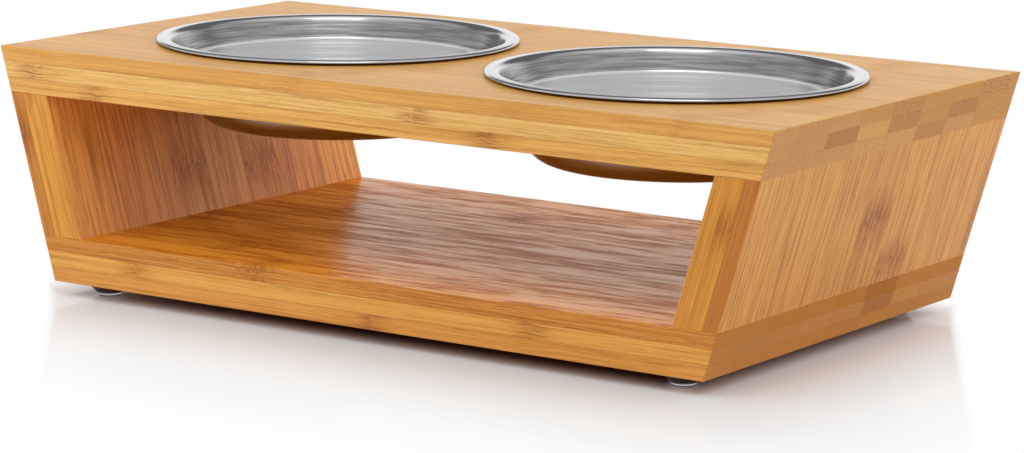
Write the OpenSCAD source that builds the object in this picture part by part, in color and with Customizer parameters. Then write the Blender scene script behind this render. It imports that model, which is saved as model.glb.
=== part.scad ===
// Raised feeding stand for pets: two steel bowls hang in a thick bamboo top board,
// over a shelf that stays open at the front and the back.
// X runs along the length, Y from front to back and Z up. The origin lies on the
// floor under the middle of the stand.

/* [Stand] */
// Length of the top board at its upper face
top_length = 394; // [370:1:480]
// Depth of the stand from front to back
stand_depth = 206; // [190:1:260]
// Height of the wooden stand without its feet
stand_height = 102; // [80:1:200]
// How far each end of the underside stands in from the end of the top face
end_inset = 30; // [6:1:40]
// Rounding of the outer edges
edge_round = 0.8; // [0.2:0.1:2]
// Rounding of the boards' edges along the opening
bay_round = 0.4; // [0.1:0.1:1]

/* [Board plies] */
// Thickness of each of the three plies of the top board
top_ply = 6.7; // [5:0.1:8]
// Thickness of each of the three plies of the base board
base_ply = 6.7; // [5:0.1:8]
// Thickness of each of the three plies of a side board
side_ply = 6.7; // [5:0.1:8]

/* [Bowls] */
// Distance between the centres of the two bowls
bowl_spacing = 177; // [165:1:200]
// Diameter over the rolled edge of the rim
rim_diameter = 161.5; // [130:0.5:163]
// Width of the rim, from its rolled edge to the mouth of the bowl
rim_width = 6; // [5:0.5:10]
// Height of the rim above the wood
rim_height = 2; // [1.9:0.1:3]
// Thickness of the steel sheet
steel = 0.8; // [0.5:0.05:0.9]
// Depth of the bowl's underside below the top face of the board
bowl_depth = 36.3; // [28:1:52]
// Lean of the bowl's wall from upright, in degrees
wall_lean = 22; // [6:1:30]
// Radius of the curve from the wall to the base
base_curve = 12; // [6:1:18]
// Radius of the curve from the wall to the rim
mouth_curve = 2.5; // [1.5:0.1:3]
// How far the middle of the base is dished upwards
base_dish = 0.8; // [0.2:0.1:2]
// How far the rolled edge of the rim turns back under it
hem_return = 1.4; // [0.5:0.1:2]

/* [Dowels] */
// Diameter of the dowels in the board joints
dowel_diameter = 8; // [6:0.5:10]
// Length of a dowel
dowel_length = 24; // [16:1:32]
// Number of dowels in each joint
dowels_per_joint = 3; // [2:1:5]
// Distance from the front or back face to the nearest dowel
dowel_setback = 33; // [15:1:50]
// Width of the chamfer at a dowel's ends
dowel_chamfer = 1; // [0.3:0.1:1.5]

/* [Feet] */
// Height of a foot with its adhesive disc
foot_height = 6.2; // [4:0.1:12]
// Diameter of a foot where it meets the stand
foot_diameter = 17.6; // [14:0.2:22]
// Diameter of a foot's sole
sole_diameter = 9; // [6:0.2:12]
// Height of the upright band round the top of a foot
foot_band = 1.1; // [0.5:0.1:2]
// Rounding round the edge of the sole
sole_round = 0.8; // [0.3:0.1:1.5]
// Distance from an end of the underside to a foot's centre
foot_end_setback = 18.5; // [14:0.5:40]
// Distance from the front or back face to a foot's centre
foot_side_setback = 15.6; // [14:0.2:40]
// Thickness of the adhesive disc on a foot
disc_thickness = 0.5; // [0.3:0.1:1]
// How far the adhesive disc stays inside the foot's edge
disc_margin = 0.6; // [0.2:0.1:2]

/* [Clearances] */
// Gap all round between a bowl and its hole
hole_gap = 1; // [0.5:0.1:2]
// Gap between the rim and the wood that it rests on
rim_gap = 0.15; // [0.1:0.05:0.3]
// Glue gap all round a dowel
glue_gap = 0.05; // [0.02:0.01:0.2]
// Space left for glue past each end of a dowel
glue_pocket = 0.8; // [0.3:0.1:2]

/* [Hidden] */
$fn = 160;

left = -1;
right = 1;
front = -1;
back = 1;
plies = 3;
edge_steps = 5;
curve_steps = 10;

stand_base = foot_height;
stand_top = stand_base + stand_height;
top_underside = stand_top - plies * top_ply;
shelf_top = stand_base + plies * base_ply;
lean = atan(end_inset / stand_height);
side_ply_across = side_ply / cos(lean);
// Longer than the stand in every direction, for the slabs that shape it
reach = 2 * (top_length + stand_depth + stand_height);

bowl_x = bowl_spacing / 2;
rim_radius = rim_diameter / 2;
mouth_radius = rim_radius - rim_width;
hem_radius = rim_height / 2;
hole_radius = mouth_radius + steel + hole_gap;

foot_x = top_length / 2 - end_inset - foot_end_setback;
foot_y = stand_depth / 2 - foot_side_setback;

// Half the length of the stand at a height, between its leaning ends
function end_x(z) = top_length / 2 - end_inset * (stand_top - z) / stand_height;

function unit(v) = v / norm(v);

// An arc of points about a centre, from one angle to another
function arc(centre, radius, from, to, steps) =
    [for (i = [0:steps])
        let (a = from + (to - from) * i / steps)
        centre + radius * [cos(a), sin(a)]];

// The corner p between its neighbours a and b, rounded to a radius
function round_corner(a, p, b, radius) =
    let (
        u = unit(a - p),
        w = unit(b - p),
        half = acos(u * w) / 2,
        centre = p + unit(u + w) * radius / sin(half),
        start = p + u * radius / tan(half) - centre,
        finish = p + w * radius / tan(half) - centre,
        from = atan2(start[1], start[0]),
        turn = (atan2(finish[1], finish[0]) - from + 540) % 360 - 180
    )
    arc(centre, radius, from, from + turn, edge_steps);

// An outline whose corners are each rounded to their own radius
function rounded(points, radii) =
    let (n = len(points))
    [for (i = [0:n - 1])
        each round_corner(points[(i + n - 1) % n], points[i], points[(i + 1) % n], radii[i])];

// Stands on one of the leaning ends, with X along the end's outward normal
module at_end(side) {
    mirror([side < 0 ? 1 : 0, 0, 0])
        translate([end_x(0), 0, 0])
            rotate([0, lean, 0])
                children();
}

// The part that both ends have in common
module between_ends() {
    intersection() {
        at_end(left) children();
        at_end(right) children();
    }
}

// The stand seen from the front, as a solid far deeper than the stand
module front_form() {
    half_base = end_x(stand_base);
    half_top = end_x(stand_top);
    rotate([90, 0, 0])
        linear_extrude(height = reach, center = true)
            polygon(rounded([
                [-half_base, stand_base], [half_base, stand_base],
                [half_top, stand_top], [-half_top, stand_top]
            ], [edge_round, edge_round, edge_round, edge_round]));
}

// The outline of a board across its depth, between two positions through its thickness.
// Each of its two faces has its own rounding.
function board_outline(low, high, low_round, high_round) =
    let (half_depth = stand_depth / 2)
    rounded(
        [[-half_depth, low], [half_depth, low], [half_depth, high], [-half_depth, high]],
        [low_round, low_round, high_round, high_round]
    );

// A level board that reaches the leaning ends of the stand, with its outer edges rounded
module level_board(low, high, low_round, high_round) {
    half_depth = stand_depth / 2;
    intersection() {
        front_form();
        rotate([90, 0, 90])
            linear_extrude(height = reach, center = true)
                polygon(board_outline(low, high, low_round, high_round));
        between_ends()
            linear_extrude(height = reach, center = true)
                polygon(rounded([
                    [-reach, -half_depth], [0, -half_depth],
                    [0, half_depth], [-reach, half_depth]
                ], [edge_round, edge_round, edge_round, edge_round]));
    }
}

module top_board() {
    level_board(top_underside, stand_top, bay_round, edge_round);
}

module base_board() {
    level_board(stand_base, shelf_top, edge_round, bay_round);
}

// A side board along the lean of an end, between the base board and the top board
module side_board(side) {
    intersection() {
        at_end(side)
            linear_extrude(height = reach, center = true)
                rotate(90)
                    polygon(board_outline(0, plies * side_ply, edge_round, bay_round));
        level_slab(shelf_top, top_underside);
    }
}

// One dowel of a joint at the origin, along Z
module dowel_blank(radius, length, chamfer) {
    half = length / 2;
    rotate_extrude()
        polygon([
            [0, -half], [radius - chamfer, -half], [radius, chamfer - half],
            [radius, half - chamfer], [radius - chamfer, half], [0, half]
        ]);
}

// Places children at each dowel of the joint at height z, along the lean of the side board
module at_dowels(side, z) {
    first = dowel_setback - stand_depth / 2;
    pitch = -2 * first / (dowels_per_joint - 1);
    for (i = [0:dowels_per_joint - 1])
        mirror([side < 0 ? 1 : 0, 0, 0])
            translate([end_x(z) - plies * side_ply_across / 2, first + i * pitch, z])
                rotate([0, lean, 0])
                    children();
}

module dowels(side, z) {
    at_dowels(side, z)
        dowel_blank(dowel_diameter / 2, dowel_length, dowel_chamfer);
}

module dowel_holes(side, z) {
    at_dowels(side, z)
        cylinder(r = dowel_diameter / 2 + glue_gap, h = dowel_length + 2 * glue_pocket, center = true);
}

// A slab between two heights, wider than the stand
module level_slab(low, high) {
    translate([-reach / 2, -reach / 2, low])
        cube([reach, reach, high - low]);
}

module bowl_holes() {
    for (side = [left, right])
        translate([side * bowl_x, 0, top_underside - top_ply])
            cylinder(r = hole_radius, h = (plies + 2) * top_ply);
}

// Plies count downwards from the top face of the board
module top_board_ply(index) {
    high = stand_top - index * top_ply;
    difference() {
        intersection() {
            top_board();
            level_slab(high - top_ply, high);
        }
        bowl_holes();
        for (side = [left, right])
            dowel_holes(side, top_underside);
    }
}

module base_board_ply(index) {
    high = shelf_top - index * base_ply;
    difference() {
        intersection() {
            base_board();
            level_slab(high - base_ply, high);
        }
        for (side = [left, right])
            dowel_holes(side, shelf_top);
    }
}

// Plies count inwards from the outer face of the side board
module side_board_ply(side, index) {
    difference() {
        intersection() {
            side_board(side);
            at_end(side)
                translate([-(index + 1) * side_ply, -reach / 2, -reach / 2])
                    cube([side_ply, reach, reach]);
        }
        dowel_holes(side, top_underside);
        dowel_holes(side, shelf_top);
    }
}

// One face of the steel, half a thickness (skin) above or below the middle of the sheet,
// from the centre of the base to the end of the rolled edge. Z is 0 at the seat of the rim.
function bowl_face(skin) =
    let (
        half = steel / 2,
        base_z = half - bowl_depth - rim_gap,
        base_arc_z = base_z + base_curve,
        base_arc_x = mouth_radius - (rim_height - base_arc_z) * tan(wall_lean)
            + (half - base_curve) / cos(wall_lean),
        mouth_inner = mouth_curve + half,
        mouth_centre = [mouth_radius + mouth_inner / tan(45 + wall_lean / 2), rim_height - mouth_inner],
        hem_centre = [rim_radius - hem_radius, rim_height - hem_radius],
        hem_middle = hem_radius - half
    )
    concat(
        [for (i = [0:curve_steps])
            let (part = i / curve_steps)
            [base_arc_x * part, base_z + skin + base_dish * (1 + cos(180 * part)) / 2]],
        arc([base_arc_x, base_arc_z], base_curve - skin, -90, -wall_lean, curve_steps),
        arc(mouth_centre, mouth_curve + skin, 180 - wall_lean, 90, curve_steps),
        arc(hem_centre, hem_middle + skin, 90, -90, curve_steps),
        [hem_centre - [hem_return, hem_middle + skin]]
    );

function reversed(list) = [for (i = [len(list) - 1:-1:0]) list[i]];

// A pressed bowl with a flat rim, whose outer edge is rolled under
module bowl(side) {
    translate([side * bowl_x, 0, stand_top + rim_gap])
        rotate_extrude()
            polygon(concat(bowl_face(-steel / 2), reversed(bowl_face(steel / 2))));
}

// A tapered bumper, from its sole on the floor to the adhesive disc
module foot(side, end) {
    top = foot_height - disc_thickness;
    sole = sole_diameter / 2;
    rim = foot_diameter / 2;
    translate([side * foot_x, end * foot_y, 0])
        rotate_extrude()
            polygon(concat(
                [[0, 0]],
                round_corner([0, 0], [sole, 0], [rim, top - foot_band], sole_round),
                [[rim, top - foot_band], [rim, top], [0, top]]
            ));
}

module adhesive_discs() {
    for (side = [left, right], end = [front, back])
        translate([side * foot_x, end * foot_y, foot_height - disc_thickness])
            cylinder(r = foot_diameter / 2 - disc_margin, h = disc_thickness);
}

module top_board_upper_ply() { color("#d9a968") top_board_ply(0); }
module top_board_middle_ply() { color("#e0b878") top_board_ply(1); }
module top_board_lower_ply() { color("#d8a560") top_board_ply(2); }

module left_side_outer_ply() { color("#c8893f") side_board_ply(left, 0); }
module left_side_middle_ply() { color("#deab62") side_board_ply(left, 1); }
module left_side_inner_ply() { color("#d09250") side_board_ply(left, 2); }

module right_side_outer_ply() { color("#c98f4a") side_board_ply(right, 0); }
module right_side_middle_ply() { color("#dba55a") side_board_ply(right, 1); }
module right_side_inner_ply() { color("#d49a4c") side_board_ply(right, 2); }

module base_board_upper_ply() { color("#c9873d") base_board_ply(0); }
module base_board_middle_ply() { color("#dba758") base_board_ply(1); }
module base_board_lower_ply() { color("#d39b48") base_board_ply(2); }

module left_top_dowels() { color("#c9a26c") dowels(left, top_underside); }
module left_base_dowels() { color("#c9a26c") dowels(left, shelf_top); }
module right_top_dowels() { color("#c9a26c") dowels(right, top_underside); }
module right_base_dowels() { color("#c9a26c") dowels(right, shelf_top); }

module left_bowl() { color("#c4c6c9") bowl(left); }
module right_bowl() { color("#c4c6c9") bowl(right); }

module front_left_foot() { color("#dfe3e6") foot(left, front); }
module front_right_foot() { color("#dfe3e6") foot(right, front); }
module back_left_foot() { color("#dfe3e6") foot(left, back); }
module back_right_foot() { color("#dfe3e6") foot(right, back); }
module foot_adhesive_discs() { color("#efeeea") adhesive_discs(); }

top_board_upper_ply();
top_board_middle_ply();
top_board_lower_ply();
left_side_outer_ply();
left_side_middle_ply();
left_side_inner_ply();
right_side_outer_ply();
right_side_middle_ply();
right_side_inner_ply();
base_board_upper_ply();
base_board_middle_ply();
base_board_lower_ply();
left_top_dowels();
left_base_dowels();
right_top_dowels();
right_base_dowels();
left_bowl();
right_bowl();
front_left_foot();
front_right_foot();
back_left_foot();
back_right_foot();
foot_adhesive_discs();
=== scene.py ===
import math

import bmesh
import bpy
from mathutils import Matrix, Vector


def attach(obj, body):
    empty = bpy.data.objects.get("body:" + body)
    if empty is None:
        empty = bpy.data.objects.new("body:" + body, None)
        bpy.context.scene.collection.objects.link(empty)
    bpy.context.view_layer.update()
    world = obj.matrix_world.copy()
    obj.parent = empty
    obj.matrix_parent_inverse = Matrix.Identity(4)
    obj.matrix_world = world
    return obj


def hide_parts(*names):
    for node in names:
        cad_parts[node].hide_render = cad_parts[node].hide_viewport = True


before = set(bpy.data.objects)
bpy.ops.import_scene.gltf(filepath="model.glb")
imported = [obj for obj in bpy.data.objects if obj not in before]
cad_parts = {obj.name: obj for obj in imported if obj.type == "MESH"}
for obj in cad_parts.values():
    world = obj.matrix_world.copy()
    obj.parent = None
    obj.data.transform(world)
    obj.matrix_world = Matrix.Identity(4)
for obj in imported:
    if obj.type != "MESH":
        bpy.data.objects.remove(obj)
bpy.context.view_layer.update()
scene = bpy.context.scene
scene.view_settings.view_transform = "Standard"

# The camera stands in front of the right end, a little above the top board, and looks down by
# ten degrees. A long lens from 1.6 m away keeps the far end nearly as tall as the near one.
AZIMUTH = math.radians(34.2706)
ELEVATION = math.radians(10.4547)
ROLL = math.radians(0.5701)
AIM = Vector((0.00592, 0.0, 0.0348))
DISTANCE = 1.61706
back = Vector(
    (
        math.sin(AZIMUTH) * math.cos(ELEVATION),
        -math.cos(AZIMUTH) * math.cos(ELEVATION),
        math.sin(ELEVATION),
    )
)
level = Vector((math.cos(AZIMUTH), math.sin(AZIMUTH), 0.0))
upright = back.cross(level)
across = math.cos(ROLL) * level + math.sin(ROLL) * upright
upward = math.cos(ROLL) * upright - math.sin(ROLL) * level
lens = bpy.data.cameras.new("product_camera")
lens.lens = 130.74
lens.sensor_width = 36
camera = bpy.data.objects.new("product_camera", lens)
turned = Matrix((across, upward, back)).transposed().to_4x4()
camera.matrix_world = Matrix.Translation(AIM + back * DISTANCE) @ turned
scene.collection.objects.link(camera)
scene.camera = camera


# Node trees, for materials and for Geometry Nodes alike. Measure is the output of a node, which
# Python's own signs reckon with, and Recipe adds the nodes of one tree.
class Measure:
    def __init__(self, recipe, socket):
        self.recipe = recipe
        self.socket = socket

    def reckon(self, operation, *others):
        return self.recipe.sum(operation, self, *others)

    def __add__(self, other):
        return self.reckon("ADD", other)

    def __sub__(self, other):
        return self.reckon("SUBTRACT", other)

    def __rsub__(self, other):
        return self.recipe.sum("SUBTRACT", other, self)

    def __mul__(self, other):
        return self.reckon("MULTIPLY", other)

    def __truediv__(self, other):
        return self.reckon("DIVIDE", other)

    def __mod__(self, other):
        return self.reckon("FLOORED_MODULO", other)

    def __neg__(self):
        return self.reckon("MULTIPLY", -1.0)

    def __abs__(self):
        return self.reckon("ABSOLUTE")

    __radd__ = __add__
    __rmul__ = __mul__

    def least(self, other):
        return self.reckon("MINIMUM", other)

    def most(self, other):
        return self.reckon("MAXIMUM", other)

    def is_number(self, value):
        return self.reckon("COMPARE", value, 0.5)

    def hump(self, reach):
        """1 where the measure is 0, and fading to 0 on both sides of it."""
        share = self / reach
        return (-(share * share)).reckon("EXPONENT")

    def ease(self, low, high, start=0.0, end=1.0):
        """From start to end, smoothly, while the measure goes from low to high."""
        return self.recipe.node(
            "ShaderNodeMapRange",
            {"interpolation_type": "SMOOTHSTEP"},
            {"Value": self, "From Min": low, "From Max": high, "To Min": start, "To Max": end},
        )


class Recipe:
    def __init__(self, tree):
        self.tree = tree
        tree.nodes.clear()

    def node(self, kind, settings=None, sockets=None, output=0):
        """Adds a node. Settings come first, and a socket takes a value or another node's output."""
        made = self.tree.nodes.new(kind)
        for name, value in (settings or {}).items():
            if name == "stops":
                ramp = made.color_ramp
                while len(ramp.elements) < len(value):
                    ramp.elements.new(0.5)
                for element, (position, colour) in zip(ramp.elements, value):
                    element.position = position
                    element.color = colour
            else:
                setattr(made, name, value)
        for name, value in (sockets or {}).items():
            inputs = [s for s in made.inputs if s.enabled]
            if isinstance(name, int):
                socket = inputs[name]
            else:
                socket = next(s for s in inputs if s.name == name)
            if isinstance(value, Measure):
                self.tree.links.new(value.socket, socket)
            else:
                socket.default_value = value
        outputs = [s for s in made.outputs if s.enabled]
        if output is None:
            return [Measure(self, s) for s in outputs]
        if isinstance(output, int):
            return Measure(self, outputs[output])
        return Measure(self, next(s for s in outputs if s.name == output))

    def sum(self, operation, *parts):
        return self.node("ShaderNodeMath", {"operation": operation}, dict(enumerate(parts)))

    def join(self, x, y, z):
        return self.node("ShaderNodeCombineXYZ", None, {"X": x, "Y": y, "Z": z})

    def parts(self, vector):
        return self.node("ShaderNodeSeparateXYZ", None, {"Vector": vector}, None)

    def mix(self, share, first, second, blend="MIX"):
        settings = {"data_type": "RGBA", "blend_type": blend, "clamp_factor": True}
        return self.node("ShaderNodeMix", settings, {"Factor": share, "A": first, "B": second})

    def noise(self, x, y, z, detail=2.0, roughness=0.5):
        sockets = {"Vector": self.join(x, y, z), "Scale": 1.0, "Detail": detail, "Roughness": roughness}
        return self.node("ShaderNodeTexNoise", {"noise_dimensions": "3D"}, sockets, "Fac")

    def bump(self, height, depth):
        return self.node("ShaderNodeBump", None, {"Height": height, "Distance": depth, "Strength": 1.0})


def new_finish(name):
    """A material with an empty tree, and the recipe that fills it."""
    material = bpy.data.materials.new(name)
    material.use_nodes = True
    return material, Recipe(material.node_tree)


def paint(red, green, blue):
    """A colour as it is read off a screen, 0 to 255, in the linear values that Blender works in."""
    linear = []
    for part in (red, green, blue):
        share = part / 255
        linear.append(share / 12.92 if share <= 0.04045 else ((share + 0.055) / 1.055) ** 2.4)
    return (*linear, 1.0)


# The studio: a glossy white table that runs out of view, and five soft lamps about the stand.
# Near the stand the table shows its soft shadow, a painted shadow on the floor under the base, and
# a greyed mirror image. Beside the stand, behind it and further away, it is bare and plain white.
TABLE_HALF = 6.0
UNDERSIDE_HALF = 167.0
DEPTH_HALF = 103.0
table_mesh = bpy.data.meshes.new("studio_table")
table_corners = [(x * TABLE_HALF, y * TABLE_HALF, 0) for x, y in ((-1, -1), (1, -1), (1, 1), (-1, 1))]
table_mesh.from_pydata(table_corners, [], [(0, 1, 2, 3)])
table = bpy.data.objects.new("studio_table", table_mesh)
scene.collection.objects.link(table)

table_finish, recipe = new_finish("white_table")
table_mesh.materials.append(table_finish)
x, y, z = recipe.parts(recipe.node("ShaderNodeTexCoord", None, None, "Object"))
half_x = UNDERSIDE_HALF / 1000
half_y = DEPTH_HALF / 1000

# Bare is what lies beside or behind the stand, seen from whatever side. The mirror image of the
# leaning ends spreads a little towards the viewer, and the edge of the bare table follows it.
EDGE_INSET = 0.002
EDGE_SPREAD = 0.05
gaze_x, gaze_y, steepness = recipe.parts(recipe.node("ShaderNodeNewGeometry", None, None, "Incoming"))
level_gaze = (gaze_x * gaze_x + gaze_y * gaze_y).reckon("SQRT").most(0.001)
sine = gaze_x / level_gaze
cosine = -gaze_y / level_gaze
nearer = (x * sine - y * cosine).most(0.0)
half_width = abs(cosine) * half_x + abs(sine) * half_y
beside = abs(x * cosine + y * sine) - half_width + EDGE_INSET - nearer * EDGE_SPREAD
behind = (y * cosine - abs(cosine) * half_y).most(-(x * sine) - abs(sine) * half_x)
bare = beside.ease(0.0, 0.006).most(behind.ease(0.0, 0.02))

# How far in under the stand, where a painted shadow darkens the floor, and how far away from
# its footprint
x = abs(x) - half_x
y = abs(y) - half_y
under = (-x.most(y)).ease(0.003, 0.022)
x = x.most(0.0)
y = y.most(0.0)
away = (x * x + y * y).reckon("SQRT")

# The outputs of this node are camera ray, shadow ray, diffuse, glossy, singular, reflection and
# transmission ray, in this order. Only what is seen, and not what is lit, gets the white table.
rays = recipe.node("ShaderNodeLightPath", None, None, None)
straight = (rays[0] + rays[6]).least(1.0)
seen = (straight + rays[3]).least(1.0)
# The lacquer is painted reddish brown under the stand: a painted shadow.
lacquer = recipe.node(
    "ShaderNodeBsdfPrincipled",
    None,
    {
        "Base Color": recipe.mix(under, paint(243, 246, 250), paint(120, 66, 48)),
        "Roughness": 0.10,
        "IOR": 1.12,
    },
)

# The mirror image takes nearly the same share of each colour from the white, and so looks grey.
# It is left out of views from high above.
MIRROR = 0.26
GREYING = (1.0, 0.72, 0.66)
made_up = tuple((1 - MIRROR * part) / (1 - MIRROR) for part in GREYING)
white = recipe.node("ShaderNodeEmission", None, {"Color": (1, 1, 1, 1), "Strength": 1.0})
veil = recipe.node("ShaderNodeEmission", None, {"Color": (*made_up, 1), "Strength": 1.0})
mirror = recipe.node("ShaderNodeBsdfAnisotropic", None, {"Color": (*GREYING, 1), "Roughness": 0.12})
glazed = recipe.node("ShaderNodeMixShader", None, {0: MIRROR, 1: veil, 2: mirror})
faded = away.ease(0.0, 0.18).most(steepness.ease(0.30, 0.60))
glazed = recipe.node("ShaderNodeMixShader", None, {0: faded, 1: glazed, 2: white})
whiter = away.ease(0.0, 0.09) * seen
shader = recipe.node("ShaderNodeMixShader", None, {0: whiter, 1: lacquer, 2: glazed})
shader = recipe.node("ShaderNodeMixShader", None, {0: bare * straight, 1: shader, 2: white})
recipe.node("ShaderNodeOutputMaterial", None, {"Surface": shader}, None)

# The world is white to the camera and a little dimmer as a light. Polished pieces see a white
# horizon under a dimmer ceiling, which is lighter high in front and darker behind. Low in front
# it is dark, and a small dark screen stands low behind the left end.
SKY = 0.74
world = bpy.data.worlds.new("studio")
scene.world = world
world.use_nodes = True
recipe = Recipe(world.node_tree)
rays = recipe.node("ShaderNodeLightPath", None, None, None)
x, y, z = recipe.parts(recipe.node("ShaderNodeTexCoord", None, None, "Generated"))
sideways = x * math.cos(AZIMUTH) + y * math.sin(AZIMUTH)
fore = x * math.sin(AZIMUTH) - y * math.cos(AZIMUTH)
ceiling = z.ease(0.16, 0.36, 1.0, 0.56) + z.ease(0.62, 0.75) * fore.ease(-0.1, 0.2) * 0.4
dark_behind = (-fore).ease(0.15, 0.45) * z.ease(0.22, 0.34) * 0.40
dark_front = fore.ease(0.3, 0.6) * z.ease(0.16, 0.08) * 0.85
screen = (-sideways).ease(0.42, 0.50) * (-fore).ease(0.55, 0.65) * z.ease(0.0, 0.04) * z.ease(0.24, 0.20)
ceiling = ceiling - dark_behind - dark_front - screen * 0.8
strength = SKY + (rays[0] + rays[6]).least(1.0) * (1.0 - SKY) + rays[3] * (ceiling - SKY)
light = recipe.node("ShaderNodeBackground", None, {"Color": (1, 1, 1, 1), "Strength": strength})
recipe.node("ShaderNodeOutputWorld", None, {"Surface": light}, None)

LAMPS_AIM = Vector((0, 0, 0.05))


def softbox(name, azimuth, elevation, distance, size, power, mirrored=False):
    """A square lamp that faces the stand. Azimuth 0 is in front of it and 90 off its right end.
    Only a lamp that is mirrored shows in the polished pieces."""
    lamp = bpy.data.lights.new(name, "AREA")
    lamp.shape = "SQUARE"
    lamp.size = size
    lamp.energy = power
    turn = math.radians(azimuth)
    rise = math.radians(elevation)
    away = Vector((math.sin(turn) * math.cos(rise), -math.cos(turn) * math.cos(rise), math.sin(rise)))
    obj = bpy.data.objects.new(name, lamp)
    obj.visible_glossy = mirrored
    facing = away.to_track_quat("Z", "Y").to_matrix().to_4x4()
    obj.matrix_world = Matrix.Translation(away * distance + LAMPS_AIM) @ facing
    scene.collection.objects.link(obj)


softbox("softbox_above", 34, 62, 1.5, 0.8, 2.6, mirrored=True)
softbox("softbox_front", -52, 20, 0.95, 0.8, 2.5)
softbox("softbox_right", 104, 7, 1.8, 1.0, 6.6)
softbox("softbox_back", 150, 16, 1.8, 1.0, 5.0)
softbox("softbox_behind", 188, 13, 1.8, 0.8, 9.0)

# The base board, which is also the storage shelf: three plies of bamboo, each glued up from
# strips 25.55 mm wide whose fibres run along the stand. All three are cut to the lean of the ends.
STRIP = 25.55
FIRST_SEAM = -84.0
PLY = 6.7
TOP_HALF = 197.0
WOOD_HEIGHT = 102.0
BASE_UNDERSIDE = 6.2
LEAN = math.atan((TOP_HALF - UNDERSIDE_HALF) / WOOD_HEIGHT)


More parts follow.
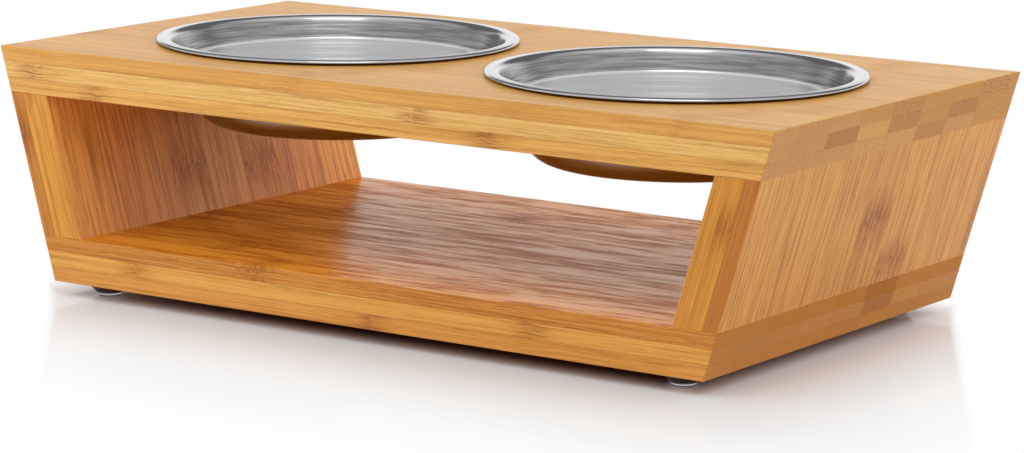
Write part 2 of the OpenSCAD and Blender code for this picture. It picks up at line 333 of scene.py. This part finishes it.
def bamboo(
    name, tone, seed, middle, knots, turn=0.0, glued=(1, 1), pitch=206.0, spread=8.5, scorch=0.85,
    ripple=0.0, figure=0.4, bands=0.6, threads=1.3, veins=0.5, flecks=0.14, fleck_size=(60, 1.7),
    face=(1, 1, 1, 1), cut_tone=paint(203, 147, 76), blocks=(), dotted=(),
    sheen=0.12, skin=1.38, polish=0.36, relief=1.0,
):
    """The finish of one ply. Tone is its colour, and turn and middle bring its own centre plane
    to w = 0, with the fibres along u and the strips side by side along v, in millimetres. Glued
    says whether its low and its high side along w meet a ply.

    Knots gives the places along u where the strips that are named have a node of the culm, and
    the other strips have theirs anywhere. A node comes back after each pitch, spread is its
    reach, scorch how dark it is, and ripple how far the fibres wave beside it.

    Figure is how far the fibres wander. Bands, threads, veins and flecks say how strongly each
    of these is drawn, and fleck_size gives a fleck's length and width. Face tints the two broad
    sides. Cut_tone is the colour of the end grain, blocks places a strip's end between dark (0)
    and light (1), and dotted names the strips with light dots on brown.

    Sheen is the weight of the lacquer's coat and skin the index of refraction under it, polish
    is the roughness, and relief the depth of the grain."""
    material, recipe = new_finish(name)
    place = recipe.node("ShaderNodeTexCoord", None, None, "Object")
    facing = recipe.node("ShaderNodeTexCoord", None, None, "Normal")
    millimetres = {"Rotation": (0, turn, 0), "Scale": (1000, 1000, 1000), "Location": (0, 0, -middle)}
    u, v, w = recipe.parts(recipe.node("ShaderNodeMapping", None, {"Vector": place, **millimetres}))
    turning = {"Vector": facing, "Rotation": (0, turn, 0)}
    turned = recipe.node("ShaderNodeMapping", {"vector_type": "NORMAL"}, turning)
    facing_u, facing_v, facing_w = recipe.parts(turned)
    end = abs(facing_u).ease(0.55, 0.85)
    broad = abs(facing_w).ease(0.55, 0.85)

    # Strips, and what is drawn by lot for each of them
    share = (v - FIRST_SEAM) / STRIP
    strip = share.reckon("FLOOR")
    inside = share - strip
    lot = {"Vector": recipe.join(strip, seed, 0.5)}
    drawn = recipe.node("ShaderNodeTexWhiteNoise", {"noise_dimensions": "3D"}, lot, "Color")
    shade, hue, start = recipe.parts(drawn)

    # Nodes of the culm, which bend the fibres about them
    knot = start * pitch
    for number, where in knots.items():
        knot = knot + (where - knot) * strip.is_number(number)
    ragged = recipe.noise(u / 9, v / 2.4, w / 2.4, 1.0)
    bow = inside - 0.5
    gap = u - knot + bow * bow * 9 + (ragged - 0.5) * 6
    gap = (gap / pitch + 0.5) % 1.0 * pitch - 0.5 * pitch
    zone = gap.hump(spread)
    ring = gap.hump(0.6)
    kink = gap * gap.hump(5.0) * 0.13
    wave = (recipe.noise(u / 22, v / 8, w / 5 + seed, 2.0) - 0.5) * (figure * 2.0)
    if ripple:
        wave = wave + (u * 1.15).reckon("SINE") * zone * ripple

    # Fibres: long soft bands, threads, hair lines, dark veins, smoky patches, and flecks on the
    # broad sides. About a node they are scorched, with short dark strokes and a ring
    side = v + strip * 41.0 + wave
    deep = w + kink + wave + seed * 13.7
    band = recipe.noise(u / 150, side / 3.0, deep / 2.2, 2.0)
    thread = recipe.noise(u / 75, side / 0.62, deep / 0.62, 3.0, 0.62)
    hair = recipe.noise(u / 24, side / 0.24, deep / 0.24, 2.0, 0.6)
    vein = recipe.noise(u / 130, side / 0.8 + 7.0, deep / 0.55, 1.0).ease(0.55, 0.72)
    smoke = recipe.noise(u / 48, side / 4.5, deep / 4.5 + 3.0, 2.0).ease(0.56, 0.76)
    long, wide = fleck_size
    fleck = recipe.noise(u / long, side / wide, deep / wide, 5.0, 0.70).ease(0.36, 0.64) - 0.5
    grain = thread.ease(0.36, 0.64)
    red, green, blue = tone[:3]
    stops = [
        (0.16, (red * 0.64, green * 0.52, blue * 0.38, 1)),
        (0.40, (red * 0.89, green * 0.84, blue * 0.74, 1)),
        (0.56, (red, green, blue, 1)),
        (0.84, (min(red * 1.14, 1), green * 1.22, blue * 1.5, 1)),
    ]
    mixed = (band - 0.5) * bands + (thread - 0.5) * threads + (hair - 0.5) * 0.8
    mixed = mixed + (shade - 0.5) * 0.14 + 0.54 + fleck * broad * flecks
    colour = recipe.node("ShaderNodeValToRGB", {"stops": stops}, {"Fac": mixed}, "Color")
    colour = recipe.mix(vein * veins, colour, (red * 0.60, green * 0.47, blue * 0.32, 1))
    colour = recipe.mix(hue * 0.20, colour, (1.0, 0.86, 0.80, 1), "MULTIPLY")
    colour = recipe.mix(broad, colour, face, "MULTIPLY")
    scorched = recipe.mix(grain, (0.60, 0.44, 0.32, 1), (0.96, 0.89, 0.82, 1))
    colour = recipe.mix((zone * scorch * 0.8).most(smoke * 0.45), colour, scorched, "MULTIPLY")
    stroke = recipe.noise(u / 7.0, side / 0.40, deep / 0.40, 3.0, 0.6).ease(0.47, 0.62)
    stroke = stroke * gap.hump(spread * 0.9) * scorch
    colour = recipe.mix(stroke, colour, (0.52, 0.36, 0.26, 1), "MULTIPLY")
    ring_tone = (red * 0.62, green * 0.45, blue * 0.30, 1)
    colour = recipe.mix(ring * (0.5 - broad * 0.3) * scorch, colour, ring_tone)

    # End grain: each strip has its own tone, dotted with the culm's bundles
    red, green, blue = cut_tone[:3]
    stops = [
        (0.00, (red * 0.70, green * 0.58, blue * 0.52, 1)),
        (0.22, (red * 0.82, green * 0.74, blue * 0.72, 1)),
        (0.45, (red * 0.90, green * 0.86, blue * 0.66, 1)),
        (0.70, (red * 0.92, green * 0.86, blue * 1.10, 1)),
        (1.00, (red * 1.02, green * 1.10, blue * 1.16, 1)),
    ]
    block = shade * 0.84 + 0.16
    speckled = 0.0
    for number, shown in dict(blocks).items():
        block = block + (shown - block) * strip.is_number(number)
    for number in dotted:
        speckled = strip.is_number(number) + speckled
    fibrous = block + (thread - 0.5) * 0.9
    cut = recipe.node("ShaderNodeValToRGB", {"stops": stops}, {"Fac": fibrous}, "Color")
    dotting = recipe.join(v / 1.45 + strip * 3.0, w + seed, 0.0)
    dots = {"Vector": dotting, "Scale": 1.0, "Randomness": 0.8}
    bundle = recipe.node("ShaderNodeTexVoronoi", {"voronoi_dimensions": "2D"}, dots, "Distance")
    bundle = bundle.ease(0.42, 0.22)
    dense = (w * 0.09 + 0.62 + (shade - 0.5) * 0.5).most(0.1).least(1.0)
    cut = recipe.mix(bundle * dense * 0.55, cut, (red * 0.56, green * 0.42, blue * 0.30, 1))
    if dotted:
        cut = recipe.mix(speckled * 0.55, cut, (red * 0.62, green * 0.50, blue * 0.42, 1))
        cut = recipe.mix(bundle * speckled * 0.8, cut, (red * 1.08, green * 1.12, blue * 1.25, 1))
    colour = recipe.mix(end, colour, cut)

    # Glue: a fine dark line beside the next strip and the next ply
    seam = inside.least(1.0 - inside).ease(0.0075, 0.003)
    low = (w + PLY / 2).ease(0.16, 0.05) if glued[0] else 0.0
    high = (PLY / 2 - w).ease(0.16, 0.05) if glued[1] else 0.0
    glue = seam * (0.20 + end * 0.12)
    if glued[0] or glued[1]:
        glue = glue.most((low + high) * 0.38)
    colour = recipe.mix(glue, colour, (red * 0.45, green * 0.30, blue * 0.17, 1))

    height = hair * 0.25 + thread * 0.6 + fleck * broad * flecks * 0.6 - vein * 0.35 - glue * 0.8
    height = height + ring * 0.35 - bundle * end * 0.4
    rough = polish + (thread - 0.5) * 0.16 + end * 0.20 + zone * 0.06
    shader = recipe.node(
        "ShaderNodeBsdfPrincipled",
        None,
        {
            "Base Color": colour,
            "Roughness": rough,
            "IOR": skin,
            "Normal": recipe.bump(height, 0.00006 * relief),
            "Coat Weight": sheen * (1.0 - end * 0.7) * (1.0 + fleck * broad * flecks * 2.0),
            "Coat Roughness": 0.22,
            "Coat IOR": 1.45,
        },
    )
    recipe.node("ShaderNodeOutputMaterial", None, {"Surface": shader}, None)
    return material


def dress(node, material):
    """Puts a finish on a CAD node that stays as it is."""
    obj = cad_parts[node]
    obj.data.materials.clear()
    obj.data.materials.append(material)


base_plies = {
    "lower": dict(
        tone=paint(222, 151, 62), seed=3.0, knots={-1: 6.0}, glued=(0, 1), veins=0.45,
        cut_tone=paint(198, 132, 52),
        blocks={-1: 0.6, 0: 0.45, 1: 0.5, 2: 0.42, 3: 0.35, 4: 0.5, 5: 0.3, 6: 0.4},
    ),
    "middle": dict(
        tone=paint(228, 163, 68), seed=5.0, knots={-1: -119.6}, veins=0.25,
        cut_tone=paint(196, 132, 56),
        blocks={-1: 0.4, 0: 0.3, 1: 0.55, 2: 0.75, 3: 0.7, 4: 0.0, 5: 0.9, 6: 0.8},
    ),
    "upper": dict(
        tone=paint(212, 140, 60), seed=8.0, knots={-1: -54.3}, glued=(1, 0), pitch=330.0,
        scorch=0.6, ripple=0.5, figure=0.9, threads=1.8, veins=0.60, flecks=1.05,
        fleck_size=(44, 4.6), face=(1.38, 1.36, 0.6, 1), cut_tone=paint(194, 129, 52),
        blocks={-1: 0.7, 0: 0.66, 1: 0.6, 2: 0.62, 3: 0.5, 4: 0.1, 5: 0.7, 6: 0.72},
        sheen=0.40, skin=1.12, polish=0.32, relief=2.0,
    ),
}
for number, (layer, make) in enumerate(base_plies.items()):
    middle = BASE_UNDERSIDE + (number + 0.5) * PLY
    finish = bamboo(f"bamboo_base_{layer}", middle=middle, **make)
    dress(f"base_board_{layer}_ply", finish)

# The two side boards lean outwards and carry the top board. Their fibres run up the slope, and
# their plies count inwards from the outer face. The left one's tone is painted lighter, as
# painted light for the little more light that it stands in.
FOOT_OF_SLOPE = UNDERSIDE_HALF * math.sin(LEAN) + BASE_UNDERSIDE * math.cos(LEAN)
OUTER_FACE = UNDERSIDE_HALF * math.cos(LEAN) - BASE_UNDERSIDE * math.sin(LEAN)
LEFT_PAINTED_LIGHT = (1.10, 1.15, 1.08)
side_plies = {
    "outer": dict(
        tone=paint(188, 116, 38), glued=(1, 0), pitch=330.0, spread=10.0, scorch=1.0, bands=0.30,
        threads=1.2, veins=0.35, flecks=0.8, fleck_size=(46, 0.75), face=(1.25, 1.56, 2.20, 1),
        sheen=0.0,
    ),
    "middle": dict(tone=paint(218, 147, 48), glued=(1, 1), veins=0.30),
    "inner": dict(
        tone=paint(212, 140, 50), glued=(0, 1), spread=13.0, threads=1.7, veins=0.50, flecks=0.8,
        fleck_size=(46, 0.75), face=(1.30, 1.34, 2.3, 1), sheen=0.0,
    ),
}

# Heights of the nodes up the slope, by strip. Those of the strips that show none lie out of view.
every_strip = range(-1, 8)
side_knots = {
    ("right", "outer"): {**dict.fromkeys(every_strip, 230.0), 3: 52.9, 4: 30.2},
    ("right", "middle"): {-1: 62.0},
    ("left", "inner"): {**dict.fromkeys(every_strip, 150.0), 2: 38.0, 4: 34.0},
}
for hand, sign in (("right", 1), ("left", -1)):
    for number, (layer, make) in enumerate(side_plies.items()):
        # Along w the right board counts its plies the other way round
        make = dict(make, glued=make["glued"][::-sign])
        # The left board's tone is painted lighter: painted light
        if hand == "left":
            make["tone"] = (*(part * gain for part, gain in zip(make["tone"], LEFT_PAINTED_LIGHT)), 1.0)
        rises = side_knots.get((hand, layer), {})
        finish = bamboo(
            f"bamboo_{hand}_side_{layer}",
            seed=11.0 + 2 * number + 0.5 * sign,
            middle=-sign * (OUTER_FACE - (number + 0.5) * PLY),
            knots={strip: FOOT_OF_SLOPE + rise for strip, rise in rises.items()},
            turn=math.pi / 2 - sign * LEAN,
            **make,
        )
        dress(f"{hand}_side_{layer}_ply", finish)


# Geometry Nodes: one tree turns a profile about its axis, as on a lathe, and one sets a piece
# out in two columns, at the left and the right end. Both end as plain meshes.
def new_tree(name, inputs):
    """A Geometry Nodes tree with named inputs. Gives the tree, its recipe and its inputs."""
    tree = bpy.data.node_groups.new(name, "GeometryNodeTree")
    tree.interface.new_socket("Geometry", in_out="OUTPUT", socket_type="NodeSocketGeometry")
    tree.interface.new_socket("Geometry", in_out="INPUT", socket_type="NodeSocketGeometry")
    for label, kind in inputs.items():
        tree.interface.new_socket(label, in_out="INPUT", socket_type=f"NodeSocket{kind}")
    recipe = Recipe(tree)
    given = recipe.node("NodeGroupInput", None, None, None)
    return tree, recipe, dict(zip(["Geometry", *inputs], given))


def close_tree(recipe, geometry, finish):
    """Realizes the instances, sets the material, and ends the tree."""
    whole = recipe.node("GeometryNodeRealizeInstances", None, {"Geometry": geometry})
    done = recipe.node("GeometryNodeSetMaterial", None, {"Geometry": whole, "Material": finish})
    recipe.node("NodeGroupOutput", None, {"Geometry": done}, None)


lathe, recipe, given = new_tree(
    "lathe", {"Steps": "Int", "Flutes": "Int", "Flute Depth": "Float", "Finish": "Material"}
)
profile = {"Geometry": given["Geometry"]}
rows = recipe.node("GeometryNodeAttributeDomainSize", None, profile, "Point Count")
sheet = recipe.node(
    "GeometryNodeMeshGrid",
    None,
    {"Size X": 1.0, "Size Y": 1.0, "Vertices X": given["Steps"] + 1.0, "Vertices Y": rows},
    "Mesh",
)
index = recipe.node("GeometryNodeInputIndex")
column = (index / rows + 0.001).reckon("FLOOR")
row = index - column * rows
position = recipe.node("GeometryNodeInputPosition")
point = recipe.node(
    "GeometryNodeSampleIndex",
    {"data_type": "FLOAT_VECTOR"},
    {**profile, "Value": position, "Index": row},
)
radius, sideways, height = recipe.parts(point)
angle = column / given["Steps"] * math.tau
fluted = 1.0 - given["Flute Depth"] * (0.5 + (angle * given["Flutes"]).reckon("COSINE") * 0.5)
radius = radius * fluted
turned = recipe.join(angle.reckon("COSINE") * radius, angle.reckon("SINE") * radius, height)
sheet = recipe.node("GeometryNodeSetPosition", None, {"Geometry": sheet, "Position": turned})
sheet = recipe.node("GeometryNodeMergeByDistance", None, {"Geometry": sheet, "Distance": 0.000004})
sheet = recipe.node("GeometryNodeSetShadeSmooth", None, {0: sheet})
close_tree(recipe, sheet, given["Finish"])

setting_out, recipe, given = new_tree(
    "setting_out",
    {
        "Span": "Float",
        "Depth": "Float",
        "Rows": "Int",
        "Height": "Float",
        "Lean": "Float",
        "Finish": "Material",
    },
)
places = recipe.node(
    "GeometryNodeMeshGrid",
    None,
    {"Size X": given["Span"], "Size Y": given["Depth"], "Vertices X": 2, "Vertices Y": given["Rows"]},
    "Mesh",
)
lift = recipe.join(0.0, 0.0, given["Height"])
places = recipe.node("GeometryNodeSetPosition", None, {"Geometry": places, "Offset": lift})
end_side = recipe.parts(recipe.node("GeometryNodeInputPosition"))[0].reckon("SIGN")
tilt = recipe.join(0.0, given["Lean"] * end_side, 0.0)
placed = recipe.node(
    "GeometryNodeInstanceOnPoints",
    None,
    {"Points": places, "Instance": given["Geometry"], "Rotation": tilt},
)
close_tree(recipe, placed, given["Finish"])


def made_by(tree, name, mesh, inputs):
    """Runs a tree on a mesh and gives the result as a plain object with its faces outwards."""
    seed = bpy.data.objects.new(f"{name}_seed", mesh)
    scene.collection.objects.link(seed)
    modifier = seed.modifiers.new(tree.name, "NODES")
    modifier.node_group = tree
    sockets = {s.name: s.identifier for s in tree.interface.items_tree if s.in_out == "INPUT"}
    for label, value in inputs.items():
        modifier[sockets[label]] = value
    seen = seed.evaluated_get(bpy.context.evaluated_depsgraph_get())
    result = bpy.data.meshes.new_from_object(seen)
    bpy.data.objects.remove(seed)
    shell = bmesh.new()
    shell.from_mesh(result)
    bmesh.ops.remove_doubles(shell, verts=shell.verts, dist=0.000004)
    bmesh.ops.recalc_face_normals(shell, faces=shell.faces)
    shell.to_mesh(result)
    shell.free()
    result.name = name
    obj = bpy.data.objects.new(name, result)
    scene.collection.objects.link(obj)
    return obj


def turned_mesh(name, profile, steps, finish, flutes=0, depth=0.0, sharp=50.0):
    """Turns a profile of (radius, height) in millimetres into a mesh about the Z axis."""
    line = bpy.data.meshes.new(f"{name}_profile")
    points = [(x / 1000, 0, z / 1000) for x, z in profile]
    line.from_pydata(points, [(i, i + 1) for i in range(len(points) - 1)], [])
    inputs = {"Steps": steps, "Flutes": flutes, "Flute Depth": depth, "Finish": finish}
    obj = made_by(lathe, name, line, inputs)
    mesh = obj.data
    bpy.data.objects.remove(obj)
    mesh.set_sharp_from_angle(angle=math.radians(sharp))
    return mesh


def arc(centre, radius, start, end, steps):
    """Points of an arc between two angles in degrees, in the plane of the profile."""
    turns = [math.radians(start + (end - start) * i / steps) for i in range(steps + 1)]
    return [(centre[0] + radius * math.cos(a), centre[1] + radius * math.sin(a)) for a in turns]


# Twelve beech dowels, three in each joint, hold the side boards between the base and the top.
# They are fluted for the glue, chamfered at both ends, and driven along the lean of the boards.
DOWEL_LENGTH = 24.0
DOWEL_RADIUS = 4.0
DOWEL_CHAMFER = 1.0
DOWEL_ROW = 140.0
SHELF_TOP = BASE_UNDERSIDE + 3 * PLY
WOOD_TOP = BASE_UNDERSIDE + WOOD_HEIGHT
TOP_UNDERSIDE = WOOD_TOP - 3 * PLY
beech, recipe = new_finish("beech_dowel")
x, y, z = recipe.parts(recipe.node("ShaderNodeTexCoord", None, None, "Object"))
fleck = recipe.noise(x * 4200, y * 4200, z * 240, 2.0).ease(0.52, 0.70)
pore = recipe.noise(x * 1100, y * 1100, z * 60, 2.0)
colour = recipe.mix(pore, paint(222, 186, 146), paint(196, 152, 112))
colour = recipe.mix(fleck * 0.5, colour, paint(150, 104, 70))
shader = recipe.node(
    "ShaderNodeBsdfPrincipled",
    None,
    {
        "Base Color": colour,
        "Roughness": 0.55 + pore * 0.2,
        "Normal": recipe.bump(pore - fleck * 0.4, 0.00008),
    },
)
recipe.node("ShaderNodeOutputMaterial", None, {"Surface": shader}, None)

half = DOWEL_LENGTH / 2
narrow = DOWEL_RADIUS - DOWEL_CHAMFER
dowel_profile = [(0, -half), (narrow, -half), (DOWEL_RADIUS, DOWEL_CHAMFER - half)]
dowel_profile += [(DOWEL_RADIUS, half - DOWEL_CHAMFER), (narrow, half), (0, half)]
for joint, height in (("base", SHELF_TOP), ("top", TOP_UNDERSIDE)):
    blank = turned_mesh(
        f"{joint}_dowel_blank", dowel_profile, 144, beech, flutes=24, depth=0.05, sharp=35
    )
    reach = TOP_HALF - (WOOD_TOP - height) * math.tan(LEAN) - 1.5 * PLY / math.cos(LEAN)
    dowels = made_by(
        setting_out,
        f"fluted_{joint}_dowels",
        blank,
        {
            "Span": 2 * reach / 1000,
            "Depth": DOWEL_ROW / 1000,
            "Rows": 3,
            "Height": height / 1000,
            "Lean": LEAN,
            "Finish": beech,
        },
    )
    dowels.data.set_sharp_from_angle(angle=math.radians(35))
    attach(dowels, "stand")
    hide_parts(f"left_{joint}_dowels", f"right_{joint}_dowels")

# The top board lies over the side boards, and has a round hole for each bowl. Its three plies
# are glued up like those of the base, and its end grain shows the strips as blocks.
top_plies = {
    "lower": dict(
        tone=paint(230, 172, 84), seed=21.0, knots={-1: 63.5}, glued=(0, 1), threads=1.4, veins=0.60,
        blocks={-1: 0.72, 0: 0.7, 1: 0.76, 2: 0.95, 3: 0.9, 4: 0.18, 5: 0.74, 6: 0.5, 7: 0.4},
    ),
    "middle": dict(
        tone=paint(236, 184, 102), seed=24.0, knots={-1: 28.4}, figure=0.7, veins=0.25,
        blocks={-1: 0.72, 0: 0.68, 1: 0.0, 2: 1.0, 3: 0.15, 4: 0.5, 5: 0.1, 6: 0.45, 7: 0.5},
    ),
    "upper": dict(
        tone=paint(226, 166, 80), seed=26.0, knots={-1: -36.1}, glued=(1, 0), pitch=189.0,
        scorch=0.3, threads=0.7, veins=0.35, face=(1.06, 1.08, 1.12, 1), dotted=(3, 6),
        blocks={-1: 0.76, 0: 0.7, 1: 0.74, 2: 0.4, 3: 0.1, 4: 0.45, 5: 0.42, 6: 0.1, 7: 0.45},
    ),
}
for number, (layer, make) in enumerate(top_plies.items()):
    middle = TOP_UNDERSIDE + (number + 0.5) * PLY
    finish = bamboo(f"bamboo_top_{layer}", middle=middle, **make)
    dress(f"top_board_{layer}_ply", finish)

# Four clear rubber bumpers stand under the corners of the base, each on a disc of adhesive.
# They taper to a small rounded sole.
FOOT_RADIUS = 8.8
FOOT_BAND = 1.1
SOLE_RADIUS = 4.5
SOLE_ROUND = 0.8
DISC = 0.5
DISC_CHAMFER = 0.1
rubber, recipe = new_finish("clear_rubber")
x, y, z = recipe.parts(recipe.node("ShaderNodeTexCoord", None, None, "Object"))
haze = recipe.noise(x * 900, y * 900, z * 900, 3.0)

# Clear at the sole, where a painted highlight runs round it: a bright line that glows by emission.
# Above, under the wood, it is painted dark brown: painted shade.
clear = recipe.mix(haze, paint(244, 243, 240), paint(232, 230, 226))
shader = recipe.node(
    "ShaderNodeBsdfPrincipled",
    None,
    {
        # Painted shade: dark brown above, under the wood
        "Base Color": recipe.mix(z.ease(0.0008, 0.0026), clear, paint(84, 54, 40)),
        "Roughness": 0.03 + haze * 0.04,
        "IOR": 1.45,
        "Transmission Weight": 0.90,
        # Painted highlight: a line round the sole that glows
        "Emission Color": recipe.mix((z - 0.0009).hump(0.0004), (0, 0, 0, 1), (1, 1, 1, 1)),
        "Emission Strength": 0.45,
        "Coat Weight": 0.6,
        "Normal": recipe.bump(haze, 0.00003),
    },
)
recipe.node("ShaderNodeOutputMaterial", None, {"Surface": shader}, None)

foot_top = BASE_UNDERSIDE - DISC
slope = math.atan2(foot_top - FOOT_BAND, FOOT_RADIUS - SOLE_RADIUS)
tangent = SOLE_ROUND * math.tan(slope / 2)
sole_arc = arc((SOLE_RADIUS - tangent, SOLE_ROUND), SOLE_ROUND, -90, math.degrees(slope) - 90, 8)
foot_profile = [(0, 0), *sole_arc, (FOOT_RADIUS, foot_top - FOOT_BAND)]
foot_profile += [(FOOT_RADIUS, foot_top), (0, foot_top)]
foot = turned_mesh("bumper_blank", foot_profile, 96, rubber)
corners = {"Span": 0.297, "Depth": 0.1748, "Rows": 2, "Lean": 0.0}
feet = made_by(setting_out, "rubber_feet", foot, {**corners, "Height": 0.0, "Finish": rubber})
feet.data.set_sharp_from_angle(angle=math.radians(50))
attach(feet, "stand")
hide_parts("front_left_foot", "front_right_foot", "back_left_foot", "back_right_foot")

adhesive, recipe = new_finish("foot_adhesive")
x, y, z = recipe.parts(recipe.node("ShaderNodeTexCoord", None, None, "Object"))
cell = recipe.noise(x * 1400, y * 1400, z * 1400, 3.0)
shader = recipe.node(
    "ShaderNodeBsdfPrincipled",
    None,
    {
        "Base Color": recipe.mix(cell, paint(238, 236, 230), paint(214, 210, 202)),
        "Roughness": 0.4 + cell * 0.2,
        "Normal": recipe.bump(cell, 0.00005),
    },
)
recipe.node("ShaderNodeOutputMaterial", None, {"Surface": shader}, None)
edge = FOOT_RADIUS - 0.6
flat = edge - DISC_CHAMFER
disc_profile = [(0, 0), (flat, 0), (edge, DISC_CHAMFER)]
disc_profile += [(edge, DISC - DISC_CHAMFER), (flat, DISC), (0, DISC)]
disc = turned_mesh("adhesive_blank", disc_profile, 96, adhesive)
discs = made_by(
    setting_out, "adhesive_discs", disc, {**corners, "Height": foot_top / 1000, "Finish": adhesive}
)
discs.data.set_sharp_from_angle(angle=math.radians(50))
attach(discs, "stand")
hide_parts("foot_adhesive_discs")

# Two bowls, pressed and spun from 0.8 mm stainless steel. The rim is rolled under, rests on the
# top board and is polished, and the inside keeps the fine rings of the spinning.
STEEL = 0.8
BOWL_X = 88.5
SEAT_RISE = 0.15
SEAT = WOOD_TOP + SEAT_RISE
BOWL_DEPTH = 36.3
DISH = 0.8
WALL_LEAN = 22
BASE_CURVE = 12
BASE_ARC = (51.7, -24.05)
MOUTH_CURVE = 2.5
MOUTH_ARC = (76.706, -0.9)
HEM_CURVE = 0.6
HEM_ARC = (79.75, 1.0)
HEM_RETURN = 1.4
WALL_LINE = 8.3


def steel_finish(name, centre):
    """Stainless steel with rings about one bowl's axis. It is polished on the rim, which is shaded
    by bump as if it fell a little to the outside, and painted dark as shade where the rolled edge
    turns under. Inside, the wall is painted darker as shade down to a painted highlight, a bright
    line at WALL_LINE below the seat, and under it the steel is painted lighter as a painted
    reflection. The outside is painted darker and a little warm, a painted reflection of the wood."""
    material, recipe = new_finish(name)
    x, y, z = recipe.parts(recipe.node("ShaderNodeTexCoord", None, None, "Object"))
    x = x * 1000 - centre
    y = y * 1000
    radius = (x * x + y * y).reckon("SQRT")
    depth = SEAT - z * 1000
    along = radius + depth
    facing = recipe.parts(recipe.node("ShaderNodeTexCoord", None, None, "Normal"))[2]
    inner = radius.ease(74.6, 73.4)
    inside = inner * facing.ease(0.05, 0.20)
    # Masks of the painted reflection under the line and of the painted highlight on it
    below = depth.ease(WALL_LINE - 0.7, WALL_LINE + 0.3) * inside
    drawn = (depth - WALL_LINE).hump(0.45) * inside
    ring = recipe.noise(along / 0.42, 0.5, 0.5, 3.0, 0.65)
    broad = recipe.noise(along / 3.1, 2.5, 0.5, 2.0)
    smear = recipe.noise(x / 26, y / 26, depth / 0.9, 2.0, 0.6)
    # Painted shade darkens the inside; under the line a painted reflection, on it a painted highlight
    colour = recipe.mix(inside, paint(208, 209, 212), paint(150, 150, 152))
    colour = recipe.mix(below, colour, paint(232, 233, 235))
    colour = recipe.mix(drawn, colour, paint(250, 250, 252))
    colour = recipe.mix(smear.ease(0.35, 0.65) * inside * 0.45, colour, paint(240, 240, 240))
    colour = recipe.mix(ring * inner * 0.35, colour, paint(150, 152, 156))
    # Painted reflection of the wood: the outside is darker and warmer than the rim
    outside = inner * facing.ease(0.0, -0.10)
    colour = recipe.mix(outside, colour, paint(156, 147, 138))
    # Painted shade where the rolled edge turns under
    rolled = radius.ease(79.9, 80.3) * facing.ease(0.10, -0.15)
    colour = recipe.mix(rolled, colour, paint(60, 46, 38))
    rough = 0.10 + inner * (0.13 + (ring - 0.5) * 0.10) + (smear - 0.5) * 0.05 + outside * 0.04
    fall = (radius - MOUTH_ARC[0]).most(0.0).least(HEM_ARC[0] - MOUTH_ARC[0])
    relief = inner * (ring * 0.4 + broad * 2.4) + drawn * 1.4 - fall * 0.95
    shader = recipe.node(
        "ShaderNodeBsdfPrincipled",
        None,
        {
            "Base Color": colour,
            "Metallic": 1.0,
            "Roughness": rough,
            "Normal": recipe.bump(relief, 0.00008),
        },
    )
    recipe.node("ShaderNodeOutputMaterial", None, {"Surface": shader}, None)
    return material


def bowl_side(skin):
    """One face of the steel from the middle of the base to the end of the rolled edge."""
    floor = STEEL / 2 - BOWL_DEPTH - SEAT_RISE + skin
    dish = [
        (BASE_ARC[0] * i / 24, floor + DISH / 2 * (1 + math.cos(math.pi * i / 24)))
        for i in range(24)
    ]
    wall = arc(BASE_ARC, BASE_CURVE - skin, -90, -WALL_LEAN, 20)
    mouth = arc(MOUTH_ARC, MOUTH_CURVE + skin, 180 - WALL_LEAN, 90, 14)
    foot_of_wall = wall[-1]
    head_of_wall = mouth[0]
    rise = [
        tuple(a + (b - a) * i / 12 for a, b in zip(foot_of_wall, head_of_wall))
        for i in range(1, 12)
    ]
    hem = arc(HEM_ARC, HEM_CURVE + skin, 90, -90, 16)
    return dish + wall + rise + mouth + hem + [(HEM_ARC[0] - HEM_RETURN, HEM_ARC[1] - HEM_CURVE - skin)]


bowl_profile = bowl_side(-STEEL / 2) + bowl_side(STEEL / 2)[::-1]
for hand, sign in (("left", -1), ("right", 1)):
    finish = steel_finish(f"{hand}_bowl_steel", sign * BOWL_X)
    mesh = turned_mesh(f"{hand}_spun_bowl", bowl_profile, 192, finish)
    mesh.transform(Matrix.Translation((sign * BOWL_X / 1000, 0, SEAT / 1000)))
    bowl = bpy.data.objects.new(f"{hand}_spun_bowl", mesh)
    scene.collection.objects.link(bowl)
    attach(bowl, f"{hand}_bowl")
    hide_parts(f"{hand}_bowl")
